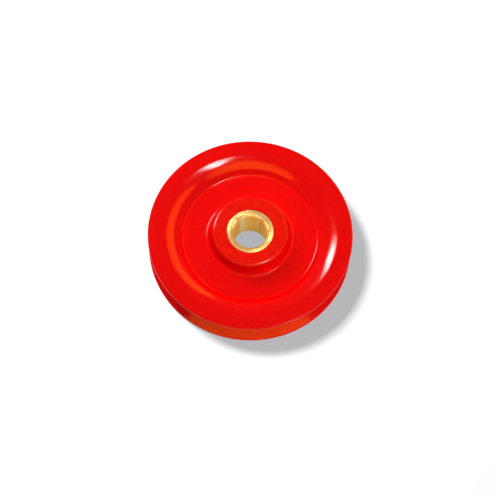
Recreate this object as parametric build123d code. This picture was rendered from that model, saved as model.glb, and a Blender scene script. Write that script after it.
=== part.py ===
from build123d import *
import os
from math import cos, radians, sin, tan

# Sheave for fibre rope: a one-piece grooved wheel with a dished web and a hub that
# stands proud on both sides, running on a plain bronze bush pressed into the hub.
# It lies flat: +Z is the axis it turns on, and the origin is the centre of the bore.
# Sizes are in millimetres and angles in degrees.

# Rope groove and rim
sheave_diameter = 152.4  # over the lips of the groove
groove_depth = 14.0  # from the lips down to the tread
tread_radius = 6.6  # round bottom of the groove, for rope up to 12.5 mm thick
flank_angle = 24.0  # how far each flank leans out from the plane of the wheel
lip_thickness = 2.0  # at the mouth of the groove
lip_chamfer = 0.8  # on the outer edge of each lip

# Web and the recess on each side of it
web_thickness = 11.1
recess_diameter = 132.0  # where the rim face starts to fall away into the recess
shoulder_width = 9.0  # of the outer part of the recess wall, which eases the edge
shoulder_slope = 13.0  # of that outer part, from the plane of the web
recess_slope = 37.0  # of the inner part of the wall, down to the web

# Hub
hub_length = 31.0
hub_face_diameter = 56.2  # where the hub face and the hub wall would meet
hub_draft = 15.0  # of the hub wall, from the axis
hub_edge_chamfer = 1.3

# Bush
bush_outer_diameter = 34.925
bore_diameter = 25.4
bush_setback = 0.4  # each end of the bush lies this far below the hub face
bore_chamfer = 1.6

# What follows from the sizes above
sheave_radius = sheave_diameter / 2
groove_bottom = sheave_radius - groove_depth
tread_centre = groove_bottom + tread_radius
flank_start = tread_centre - tread_radius * sin(radians(flank_angle))
flank_start_height = tread_radius * cos(radians(flank_angle))
flank_rise = (sheave_radius - flank_start) * tan(radians(flank_angle))
mouth_half = flank_start_height + flank_rise
rim_half = mouth_half + lip_thickness
web_half = web_thickness / 2
hub_half = hub_length / 2
seat_radius = bush_outer_diameter / 2
recess_top = recess_diameter / 2
bend_radius = recess_top - shoulder_width
bend_height = rim_half - shoulder_width * tan(radians(shoulder_slope))
recess_foot = bend_radius - (bend_height - web_half) / tan(radians(recess_slope))
hub_top = hub_face_diameter / 2
hub_foot = hub_top + (hub_half - web_half) * tan(radians(hub_draft))
bush_length = hub_length - 2 * bush_setback


def corners(section, radius, height):
    """The two corners of the section at this radius, above and below the middle plane."""
    return [
        corner
        for corner in section.vertices()
        if abs(corner.X - radius) < 0.001 and abs(abs(corner.Y) - height) < 0.001
    ]


def blank_section():
    """Section of the wheel from its seat to the lips, before the groove is cut."""
    upper_half = make_face(
        Polyline(
            (seat_radius, 0),
            (seat_radius, hub_half),
            (hub_top, hub_half),
            (hub_foot, web_half),
            (recess_foot, web_half),
            (bend_radius, bend_height),
            (recess_top, rim_half),
            (sheave_radius, rim_half),
            (sheave_radius, 0),
            close=True,
        )
    )
    return upper_half + mirror(upper_half, about=Plane.XZ)


def groove_section():
    """Section of the rope groove: a round tread between two straight flanks."""
    overrun = lip_thickness
    mouth_radius = sheave_radius + overrun
    mouth_height = mouth_half + overrun * tan(radians(flank_angle))
    tread = ThreePointArc(
        (flank_start, -flank_start_height),
        (groove_bottom, 0),
        (flank_start, flank_start_height),
    )
    upper_flank = Line(tread @ 1, (mouth_radius, mouth_height))
    mouth = Line(upper_flank @ 1, (mouth_radius, -mouth_height))
    lower_flank = Line(mouth @ 1, tread @ 0)
    return make_face([tread, upper_flank, mouth, lower_flank])


def sheave_wheel():
    """The wheel: one section with its edges broken, turned about the axis."""
    section = blank_section() - groove_section()
    lip_break = min(lip_chamfer, lip_thickness / 2)
    section = chamfer(corners(section, sheave_radius, rim_half), lip_break)
    section = chamfer(corners(section, hub_top, hub_half), hub_edge_chamfer)
    return revolve(Plane.XZ * section, Axis.Z)


def bush():
    """Plain bush: a sleeve whose bore is chamfered at both ends to let the pin in."""
    sleeve = Cylinder(seat_radius, bush_length) - Cylinder(bore_diameter / 2, bush_length)
    end_circles = sleeve.edges().filter_by(GeomType.CIRCLE).sort_by(SortBy.RADIUS)
    return chamfer(end_circles[:2], bore_chamfer)


os.makedirs("parts", exist_ok=True)
export_step(sheave_wheel(), "parts/sheave_wheel.step")
export_step(bush(), "parts/bush.step")
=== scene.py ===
from math import atan2, cos, hypot, pi, radians, sin, tan

import bpy
from mathutils import Matrix, Vector


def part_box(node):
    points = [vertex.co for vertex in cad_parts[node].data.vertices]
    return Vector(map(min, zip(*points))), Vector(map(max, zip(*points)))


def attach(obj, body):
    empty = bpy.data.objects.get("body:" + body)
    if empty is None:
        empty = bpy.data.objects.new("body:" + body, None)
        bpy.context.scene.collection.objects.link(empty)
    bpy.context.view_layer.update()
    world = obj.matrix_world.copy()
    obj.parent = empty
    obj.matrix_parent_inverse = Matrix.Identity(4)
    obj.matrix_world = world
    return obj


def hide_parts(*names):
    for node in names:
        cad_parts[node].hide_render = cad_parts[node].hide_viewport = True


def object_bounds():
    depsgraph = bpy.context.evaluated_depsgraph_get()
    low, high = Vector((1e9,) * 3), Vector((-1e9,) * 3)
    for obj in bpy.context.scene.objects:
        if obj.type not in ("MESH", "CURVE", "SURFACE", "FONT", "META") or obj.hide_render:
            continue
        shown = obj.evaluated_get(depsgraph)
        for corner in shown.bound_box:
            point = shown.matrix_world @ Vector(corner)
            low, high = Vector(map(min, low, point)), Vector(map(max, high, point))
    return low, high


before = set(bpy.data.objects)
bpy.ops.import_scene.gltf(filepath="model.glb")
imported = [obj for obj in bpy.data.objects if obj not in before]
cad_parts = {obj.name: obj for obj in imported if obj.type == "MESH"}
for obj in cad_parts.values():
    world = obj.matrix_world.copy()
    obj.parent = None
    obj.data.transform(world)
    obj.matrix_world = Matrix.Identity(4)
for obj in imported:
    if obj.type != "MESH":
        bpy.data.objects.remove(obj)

# Rope sheave: a red enamelled cast wheel and the bronze bush pressed into its hub.
# The wheel lies flat and its axis is Z. Lengths are in metres, but the patterns of the
# finishes count in millimetres. Lamps take their angles in degrees.

solid_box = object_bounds()
MM = 0.001


# ---------------------------------------------------------------- mesh helpers

SIDES = 240  # facets round every turned surface
ON_RING = 0.02 * MM  # points this near to a ring belong to it
SAME_POINT = 0.001 * MM  # points this near to each other are one
SHARP_ANGLE = radians(24)  # edges that turn by more than this stay sharp
SORTING_POINT = (0.31, 0.17, 0.11)  # off every plane of symmetry of the pieces


def new_ring(name, radius, height):
    """Starts a piece as one circle and leaves it in edit mode."""
    bpy.ops.object.select_all(action="DESELECT")
    bpy.ops.mesh.primitive_circle_add(
        vertices=SIDES, radius=radius, fill_type="NOTHING", location=(0, 0, height)
    )
    piece = bpy.context.object
    piece.name = name
    piece.data.name = name
    bpy.ops.object.transform_apply(location=True, rotation=True, scale=True)
    bpy.ops.object.mode_set(mode="EDIT")
    bpy.ops.mesh.select_mode(type="EDGE")
    bpy.ops.mesh.select_all(action="SELECT")
    return piece


def pull_ring(here, there):
    """Extrudes the selected ring from one corner of the section to the next."""
    bpy.ops.mesh.extrude_edges_move()
    growth = there[0] / here[0]
    bpy.ops.transform.resize(value=(growth, growth, 1), center_override=(0, 0, 0))
    bpy.ops.transform.translate(value=(0, 0, there[1] - here[1]))


def select_rings(piece, *corners):
    """Selects the rings of edges that lie at these corners of the section."""
    bpy.ops.mesh.select_all(action="DESELECT")
    bpy.ops.object.mode_set(mode="OBJECT")
    points = piece.data.vertices
    for edge in piece.data.edges:
        for radius, height in corners:
            edge.select = edge.select or all(
                abs(hypot(points[v].co.x, points[v].co.y) - radius) < ON_RING
                and abs(points[v].co.z - height) < ON_RING
                for v in edge.vertices
            )
    bpy.ops.object.mode_set(mode="EDIT")


def round_corner(piece, corner, before, after, radius, steps):
    """Rounds one ring to a radius, as a tool or a fillet in the mould would."""
    way_in = atan2(corner[1] - before[1], corner[0] - before[0])
    way_out = atan2(after[1] - corner[1], after[0] - corner[0])
    turn = abs((way_out - way_in + pi) % (2 * pi) - pi)
    select_rings(piece, corner)
    bpy.ops.mesh.bevel(
        offset_type="OFFSET",
        offset=radius * tan(turn / 2),
        segments=steps,
        profile=0.5,
        affect="EDGES",
        clamp_overlap=False,
    )


def turn_section(name, section):
    """Turns a closed section about the axis. Each corner of it is (radius, height,
    rounding radius, steps in the rounding)."""
    corners = [(radius, height) for radius, height, _, _ in section]
    piece = new_ring(name, *corners[0])
    for here, there in zip(corners, corners[1:]):
        pull_ring(here, there)
    select_rings(piece, corners[0], corners[-1])
    bpy.ops.mesh.bridge_edge_loops()
    for at, (_, _, rounding, steps) in enumerate(section):
        if rounding:
            before, after = corners[at - 1], corners[(at + 1) % len(corners)]
            round_corner(piece, corners[at], before, after, rounding, steps)
    bpy.ops.mesh.select_all(action="SELECT")
    bpy.ops.mesh.remove_doubles(threshold=SAME_POINT)
    bpy.ops.mesh.normals_make_consistent(inside=False)
    # The extrusions list their faces in a different order each run. By distance from
    # the sorting point the order is always the same.
    bpy.context.scene.cursor.location = SORTING_POINT
    bpy.ops.mesh.sort_elements(type="CURSOR_DISTANCE", elements={"VERT", "EDGE", "FACE"})
    bpy.ops.object.mode_set(mode="OBJECT")
    bpy.ops.object.shade_smooth_by_angle(angle=SHARP_ANGLE)
    weigh = piece.modifiers.new("flat faces stay flat", "WEIGHTED_NORMAL")
    weigh.keep_sharp = True
    weigh.mode = "FACE_AREA"
    bpy.ops.object.modifier_apply(modifier=weigh.name)
    return piece


def mirrored(side):
    """The corners of the other side of the section, from the last one back."""
    return [(radius, -height, *rounding) for radius, height, *rounding in reversed(side)]


# ------------------------------------------------------------------- the wheel

_, wheel_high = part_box("sheave_wheel")
_, bush_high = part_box("bush")

lip_radius = wheel_high.x
hub_half = wheel_high.z
seat_radius = bush_high.x

# Rope groove
groove_depth = 14.0 * MM
tread_radius = 6.6 * MM
tread_centre = lip_radius - groove_depth + tread_radius
tread_steps = 22
flank = radians(24.0)  # how far each flank leans out from the plane of the wheel
rim_half = 12.519 * MM
lip_thickness = 2.0 * MM
mouth_half = rim_half - lip_thickness

# Hub, web and recess: where their faces would meet if no edge were rounded
hub_edge = 28.1 * MM
hub_foot = 30.9 * MM
web_half = 5.55 * MM
web_end = 50.5 * MM
recess_top = 57.6 * MM

# Roundings
seat_rounding = 0.25 * MM
hub_edge_rounding = 2.1 * MM
hub_foot_fillet = 2.8 * MM
web_end_fillet = 2.0 * MM
recess_arc = 22.9 * MM  # the wall of the recess and the shoulder of the rim in one
lip_rounding = 0.85 * MM
mouth_rounding = 0.45 * MM


def groove_corners():
    """The rope groove from the upper lip to the lower one: flank, round tread, flank."""
    corners = [(lip_radius, mouth_half, mouth_rounding, 3)]
    for step in range(tread_steps + 1):
        angle = radians(90) + flank + (pi - 2 * flank) * step / tread_steps
        radius = tread_centre + tread_radius * cos(angle)
        corners.append((radius, tread_radius * sin(angle), 0, 0))
    corners.append((lip_radius, -mouth_half, mouth_rounding, 3))
    return corners


def side_corners():
    """One side of the wheel, from the seat of the bush out to the lip."""
    return [
        (seat_radius, hub_half, seat_rounding, 3),
        (hub_edge, hub_half, hub_edge_rounding, 9),
        (hub_foot, web_half, hub_foot_fillet, 9),
        (web_end, web_half, web_end_fillet, 7),
        (recess_top, rim_half, recess_arc, 26),
        (lip_radius, rim_half, lip_rounding, 6),
    ]


def wheel():
    """The wheel in one piece: hub, dished web, rim and rope groove."""
    upper = side_corners()
    section = upper + groove_corners() + mirrored(upper)
    piece = turn_section("sheave_wheel_enamelled", section)
    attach(piece, "root")
    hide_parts("sheave_wheel")
    return piece


# -------------------------------------------------------------------- the bush

bush_half = bush_high.z
bore_radius = 12.7 * MM
lead_in = 1.6 * MM  # how far the bore widens at each end
lead_in_rounding = 1.2 * MM
outer_edge_rounding = 0.5 * MM


def bush():
    """The bush: a plain sleeve with a softened lead-in at both ends of the bore."""
    upper = [
        (bore_radius, bush_half - lead_in, lead_in_rounding, 5),
        (bore_radius + lead_in, bush_half, lead_in_rounding, 5),
        (seat_radius, bush_half, outer_edge_rounding, 5),
    ]
    piece = turn_section("bush_turned", upper + mirrored(upper))
    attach(piece, "root")
    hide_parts("bush")
    return piece


# ------------------------------------------------------------ material helpers

# A Mix node keeps a set of sockets for each kind of value. These are the colours.
FIRST_COLOUR, SECOND_COLOUR, MIXED_COLOUR = 6, 7, 2


class Wire:
    """A socket. Sums written with it add Math nodes."""

    def __init__(self, recipe, socket):
        self.recipe = recipe
        self.socket = socket

    def math(self, operation, *others):
        values = dict(enumerate((self, *others)))
        return self.recipe.wire("ShaderNodeMath", {"operation": operation}, values)

    def __add__(self, other):
        return self.math("ADD", other)

    __radd__ = __add__

    def __sub__(self, other):
        return self.math("SUBTRACT", other)

    def __rsub__(self, other):
        return self * -1 + other

    def __mul__(self, other):
        return self.math("MULTIPLY", other)

    __rmul__ = __mul__

    def __truediv__(self, other):
        return self.math("DIVIDE", other)

    def __rtruediv__(self, other):
        return self ** -1 * other

    def __pow__(self, power):
        return self.math("POWER", power)

    def __abs__(self):
        return self.math("ABSOLUTE")


class Recipe:
    """The nodes of one material or of the world."""

    def __init__(self, owner):
        owner.use_nodes = True
        self.tree = owner.node_tree
        self.tree.nodes.clear()

    def add(self, kind, settings=None, sockets=None):
        """One node: its settings first, then what goes into its sockets. A colour is
        given by its three parts and becomes opaque."""
        node = self.tree.nodes.new(kind)
        for name, value in (settings or {}).items():
            setattr(node, name, value)
        for name, value in (sockets or {}).items():
            socket = node.inputs[name]
            if isinstance(value, Wire):
                self.tree.links.new(value.socket, socket)
            else:
                socket.default_value = (*value, 1) if socket.type == "RGBA" else value
        return node

    def wire(self, kind, settings=None, sockets=None, output=0):
        """The output of a new node, ready for sums."""
        return Wire(self, self.add(kind, settings, sockets).outputs[output])

    def ramp(self, value, low, high):
        """0 below low, 1 above high, and a soft rise between them."""
        return self.wire(
            "ShaderNodeMapRange",
            {"clamp": True, "interpolation_type": "SMOOTHSTEP"},
            {"Value": value, "From Min": low, "From Max": high},
        )

    def blend(self, factor, first, second):
        """A colour between two colours."""
        sockets = {"Factor": factor, FIRST_COLOUR: first, SECOND_COLOUR: second}
        return self.wire("ShaderNodeMix", {"data_type": "RGBA"}, sockets, MIXED_COLOUR)

    def noise(self, vector, scale, detail=2.0, roughness=0.5):
        """A pattern between 0 and 1. More detail and roughness make it harsher."""
        return self.wire(
            "ShaderNodeTexNoise",
            {"noise_dimensions": "3D"},
            {"Vector": vector, "Scale": scale, "Detail": detail, "Roughness": roughness},
        )

    def place(self):
        """Object coordinates in millimetres, and the parts of them."""
        point = self.wire("ShaderNodeTexCoord", output="Object")
        in_mm = self.wire(
            "ShaderNodeVectorMath", {"operation": "SCALE"}, {0: point, "Scale": 1 / MM}
        )
        parts = self.add("ShaderNodeSeparateXYZ", None, {0: in_mm})
        return (in_mm, *(Wire(self, output) for output in parts.outputs))

    def vector(self, x, y, z):
        """Three values as one vector."""
        return self.wire("ShaderNodeCombineXYZ", None, {"X": x, "Y": y, "Z": z})


def off_axis(x, y):
    """Distance from the axis."""
    return (x * x + y * y) ** 0.5


# -------------------------------------------------------------------- finishes

BLACK = (0.0, 0.0, 0.0)
WHITE = (1.0, 1.0, 1.0)


def red_enamel():
    """Brushed-on gloss enamel over a turned casting, a little more orange on the hub
    faces. The index of its coat is low, because the coat mirrors the white world all
    over, and that would turn the red pale."""
    deep_red, bright_red = (0.81, 0.0008, 0.0005), (0.91, 0.0018, 0.0009)
    hub_face_red = (0.91, 0.0095, 0.0015)
    finish = bpy.data.materials.new("red_enamel")
    mix = Recipe(finish)
    point, x, y, z = mix.place()
    radius = off_axis(x, y)
    east, north = x / radius, y / radius
    lathe = mix.vector(radius * 1.4, east * 0.9, north * 0.9)
    streaks = mix.noise(lathe, 1.6, detail=4.0, roughness=0.65)
    fine_streaks = mix.noise(mix.vector(radius * 6, east, north), 1.0)
    mottle = mix.noise(point, 0.35, detail=3.0)
    peel = mix.noise(point, 0.9, detail=1.0)
    hub_face = mix.ramp(abs(z), 13.8, 15.2)  # comes in over the rounded hub edge

    level = mix.ramp(streaks * 0.6 + mottle * 0.4, 0.3, 0.7)
    red = mix.blend(level, deep_red, bright_red)
    blotches = mix.ramp(mottle, 0.38, 0.62)
    red = mix.blend(hub_face * (0.3 + 0.7 * blotches), red, hub_face_red)
    relief = streaks * 0.35 + fine_streaks * 0.12 + peel * 0.35
    bump = mix.wire(
        "ShaderNodeBump", None, {"Strength": 0.04, "Distance": 0.0006, "Height": relief}
    )
    shader = mix.wire(
        "ShaderNodeBsdfPrincipled",
        None,
        {
            "Base Color": red,
            "Roughness": 0.24 + 0.10 * streaks,
            "Specular IOR Level": 0.0,
            "Coat Weight": 1.0,
            "Coat Roughness": 0.08,
            "Coat IOR": 1.12,
            "Normal": bump,
        },
    )
    mix.add("ShaderNodeOutputMaterial", None, {"Surface": shader})
    return finish


def bush_bronze():
    """Turned bearing bronze with the fine rings of the boring tool. The wall of the bore
    is painted lighter than the ends, a painted light, and is stained along its length;
    a lighter strip down it is a painted highlight."""
    dark_end, light_end = (0.60, 0.33, 0.10), (0.74, 0.43, 0.15)
    # The bore wall is a lighter, yellower copy of the bronze than the end faces: painted
    # light inside the bore, with random stains over it.
    dark_wall_with_painted_light, light_wall_with_painted_light = (0.96, 0.50, 0.09), (1.0, 0.68, 0.18)
    # Colour of one darker ring on each end face, just outside the lead-in
    dark_ring_colour = (0.38, 0.25, 0.07)
    # Colour of the painted highlight: a lighter strip down the bore wall where the lamp
    # above shines
    painted_highlight_colour = (1.0, 0.80, 0.34)
    highlight_strip_angle = radians(119)
    finish = bpy.data.materials.new("bush_bronze")
    mix = Recipe(finish)
    point, x, y, z = mix.place()
    radius = off_axis(x, y)
    east, north = x / radius, y / radius
    across_rings = mix.vector(radius * 5, z * 5, 0.0)
    tool_rings = mix.noise(across_rings, 1.0, detail=3.0, roughness=0.7)
    stain = mix.noise(point, 0.22, detail=3.0)
    along_bore = mix.vector(east * 4, north * 4, z * 0.03)
    runs = mix.noise(along_bore, 1.0, detail=3.0, roughness=0.6)
    wall = 1 - mix.ramp(radius, 12.8, 13.3)  # fades out over the start of the lead-in
    toward_highlight_strip = east * cos(highlight_strip_angle) + north * sin(highlight_strip_angle)
    # The painted highlight is full to 8 degrees either side of its middle and gone by 13.
    painted_highlight_strip = wall * mix.ramp(toward_highlight_strip, 0.975, 0.99)
    ends = mix.blend(mix.ramp(stain, 0.35, 0.65), dark_end, light_end)
    # One dark ring on each end face
    dark_ring = mix.ramp(radius, 14.7, 15.0) * (1 - mix.ramp(radius, 15.2, 15.6))
    ends = mix.blend(dark_ring * 0.6, ends, dark_ring_colour)
    inside = mix.blend(mix.ramp(runs, 0.3, 0.7), dark_wall_with_painted_light, light_wall_with_painted_light)
    colour = mix.blend(wall, ends, inside)
    colour = mix.blend(painted_highlight_strip, colour, painted_highlight_colour)
    bump = mix.wire(
        "ShaderNodeBump",
        None,
        {"Strength": 0.12, "Distance": 0.0003, "Height": tool_rings},
    )
    shader = mix.wire(
        "ShaderNodeBsdfPrincipled",
        None,
        {
            "Base Color": colour,
            "Metallic": 1.0,
            "Specular Tint": (1.0, 0.9, 0.7),
            "Anisotropic": 0.9,
            "Anisotropic Rotation": 0.25,
            "Roughness": 0.18 + 0.12 * tool_rings + 0.16 * wall,
            "Normal": bump,
        },
    )
    mix.add("ShaderNodeOutputMaterial", None, {"Surface": shader})
    return finish


def floor_white():
    """Pale floor that shows as the white background. It glows less near the object,
    where the floor lamp makes up the rest, so that the object's shadow shows. Under the
    bore the paper is black: a painted shade."""
    paper_grey = (0.12, 0.12, 0.12)
    near_glow = (0.445, 0.46, 0.475)
    finish = bpy.data.materials.new("floor_white")
    mix = Recipe(finish)
    _, x, y, _ = mix.place()
    radius = off_axis(x, y)
    # Painted shade: the paper is black under the bore, so no lamp light shows on the floor
    # seen through it
    clear_of_painted_shade = mix.ramp(radius, 18.0, 24.0)  # through the bore it only glows
    paper_with_painted_shade = mix.blend(clear_of_painted_shade, BLACK, paper_grey)
    paper = mix.wire("ShaderNodeBsdfDiffuse", None, {"Color": paper_with_painted_shade})
    bright = mix.blend(mix.ramp(radius, 250.0, 900.0), near_glow, WHITE)
    glow = mix.wire("ShaderNodeEmission", None, {"Color": bright})
    sheet = mix.wire("ShaderNodeAddShader", None, {0: paper, 1: glow})
    mix.add("ShaderNodeOutputMaterial", None, {"Surface": sheet})
    return finish


# ----------------------------------------------------------------------- stage

AIR_LEVEL = 0.11  # the world's light on matt surfaces, where 1 is the white it shows
FLOOR_RADIUS = 6.0
GLINT_DISTANCE = 3.0

# Azimuth, elevation and turn of the two lamps that the paint and the bush mirror most
KEY_LAMP = (124.3, 52.6, 34)
TOP_LAMP = (18, 79.7, 96)

TAIL_COLOUR = (1.0, 0.45, 0.2)
BAND_COLOUR = (1.0, 0.215, 0.016)


def floor():
    """The ground that the object lies on."""
    bpy.ops.object.select_all(action="DESELECT")
    ground = (0, 0, solid_box[0][2])
    bpy.ops.mesh.primitive_circle_add(
        vertices=96, radius=FLOOR_RADIUS, fill_type="NGON", location=ground
    )
    piece = bpy.context.object
    piece.name = "floor"
    piece.data.materials.append(floor_white())
    return piece


def studio_air():
    """The world: white to the camera and in gloss and glass, and soft fill otherwise."""
    world = bpy.data.worlds.new("studio")
    bpy.context.scene.world = world
    mix = Recipe(world)
    path = mix.add("ShaderNodeLightPath")
    camera_ray, glossy_ray, through_ray = (
        Wire(mix, path.outputs[name])
        for name in ("Is Camera Ray", "Is Glossy Ray", "Is Transmission Ray")
    )
    shown = (camera_ray + glossy_ray + through_ray).math("MINIMUM", 1.0)
    level = shown + (1 - shown) * AIR_LEVEL
    shade = mix.wire("ShaderNodeBackground", None, {"Color": WHITE, "Strength": level})
    mix.add("ShaderNodeOutputWorld", None, {"Surface": shade})


def alone(name, piece):
    """A collection of one piece, for the lamps that light nothing else."""
    only = bpy.data.collections.new(name)
    only.objects.link(piece)
    return only


def aim(thing, azimuth, elevation, distance, target):
    """Puts a lamp at an angle and distance from a point, facing that point."""
    away = Vector(
        (
            cos(radians(elevation)) * cos(radians(azimuth)),
            cos(radians(elevation)) * sin(radians(azimuth)),
            sin(radians(elevation)),
        )
    )
    thing.location = target + away * distance
    thing.rotation_euler = away.to_track_quat("Z", "Y").to_euler()


def softbox(name, azimuth, elevation, distance, width, height, energy, only):
    """An area lamp that lights only one collection."""
    lamp = bpy.data.lights.new(name, "AREA")
    lamp.shape = "RECTANGLE"
    lamp.size = width
    lamp.size_y = height
    lamp.energy = energy
    thing = bpy.data.objects.new(name, lamp)
    bpy.context.scene.collection.objects.link(thing)
    aim(thing, azimuth, elevation, distance, Vector((0, 0, 0)))
    thing.light_linking.receiver_collection = only
    return thing


def fill(name, azimuth, elevation, distance, side, share, only):
    """Soft light without a highlight. A share of 1 lights a flat face that looks up as
    a white world of strength 1 would."""
    energy = share * (pi * distance) ** 2 / sin(radians(elevation))
    lamp = softbox(name, azimuth, elevation, distance, side, side, energy, only)
    lamp.visible_glossy = False


def glint(name, azimuth, elevation, turn, width, height, level, only, colour=WHITE):
    """The bright face of a lamp as gloss and metal mirror it, without its light. Its
    level is its brightness, where 1 is the white of the background."""
    energy = level * pi * pi / 4 * width * height
    lamp = softbox(
        name, azimuth, elevation, GLINT_DISTANCE, width, height, energy, only
    )
    lamp.data.shape = "ELLIPSE"
    lamp.data.color = colour
    lamp.rotation_euler.rotate_axis("Z", radians(turn))
    lamp.visible_diffuse = False


def light_wheel(only):
    """Fills for the paint, and then what its gloss mirrors: both lamps, each with a
    core, a halo and a warm tail, and an orange band at the front and at the right."""
    fill("key_fill", 131, 38, 1.0, 0.4, 0.36, only)
    fill("key_low_fill", 131, 24, 1.0, 0.5, 0.045, only)
    fill("top_fill", -25, 71, 1.0, 0.5, 0.30, only)
    fill("right_fill", -10, 40, 1.0, 0.5, 0.05, only)
    fill("front_right_fill", -45, 16, 1.0, 0.5, 0.055, only)
    fill("back_fill", 70, 35, 1.0, 0.5, 0.07, only)
    glint("key_core", *KEY_LAMP, 0.38, 0.86, 300, only)
    glint("key_halo", *KEY_LAMP, 0.64, 1.24, 75, only)
    glint("top_core", *TOP_LAMP, 0.27, 0.90, 300, only)
    glint("top_halo", *TOP_LAMP, 0.44, 1.16, 75, only)
    glint("key_tail", *KEY_LAMP, 1.7, 0.62, 8.0, only, TAIL_COLOUR)
    glint("top_tail", *TOP_LAMP, 1.2, 0.60, 7.0, only, TAIL_COLOUR)
    glint("front_band", -87, 68, 0, 3.7, 1.25, 48, only, BAND_COLOUR)
    glint("right_band", 45, 45, -36, 4.2, 1.1, 48, only, BAND_COLOUR)


def light_bush(only):
    """What the bronze mirrors: both lamps, and white panels in front and at either
    side."""
    glint("bush_key", *KEY_LAMP, 0.7, 1.3, 11, only)
    glint("bush_top", *TOP_LAMP, 0.5, 1.2, 11, only)
    glint("bush_front", -90, 42, 0, 5.0, 1.4, 2.0, only)
    glint("bush_left", 182, 15, 0, 2.0, 1.2, 2.4, only)
    glint("bush_right", 0, 15, 0, 2.0, 1.2, 2.4, only)


def camera():
    """The view: 66 degrees up, from the front, with a slight roll."""
    elevation = radians(66.3)
    roll = radians(2.16)
    distance = 1.0897
    middle_of_rim = Vector((0, 0, rim_half))
    lens = bpy.data.cameras.new("camera")
    lens.lens = 105.68
    lens.sensor_width = 36.0
    lens.shift_x = -0.0006
    lens.shift_y = -0.035
    thing = bpy.data.objects.new("camera", lens)
    bpy.context.scene.collection.objects.link(thing)
    place = middle_of_rim + distance * Vector((0, -cos(elevation), sin(elevation)))
    turn = Matrix.Rotation(pi / 2 - elevation, 4, "X") @ Matrix.Rotation(roll, 4, "Z")
    thing.matrix_world = Matrix.Translation(place) @ turn
    bpy.context.scene.camera = thing


# -------------------------------------------------------------------- assembly

wheel_piece = wheel()
bush_piece = bush()
wheel_piece.data.materials.append(red_enamel())
bush_piece.data.materials.append(bush_bronze())
floor_piece = floor()

bush_only = alone("bush only", bush_piece)
wheel_only = alone("wheel only", wheel_piece)
floor_only = alone("floor only", floor_piece)

studio_air()
light_wheel(wheel_only)
light_bush(bush_only)
fill("floor_lamp", 148.5, 58.5, 2.0, 0.46, 5.5, floor_only)
camera()

bpy.context.scene.view_settings.view_transform = "Standard"
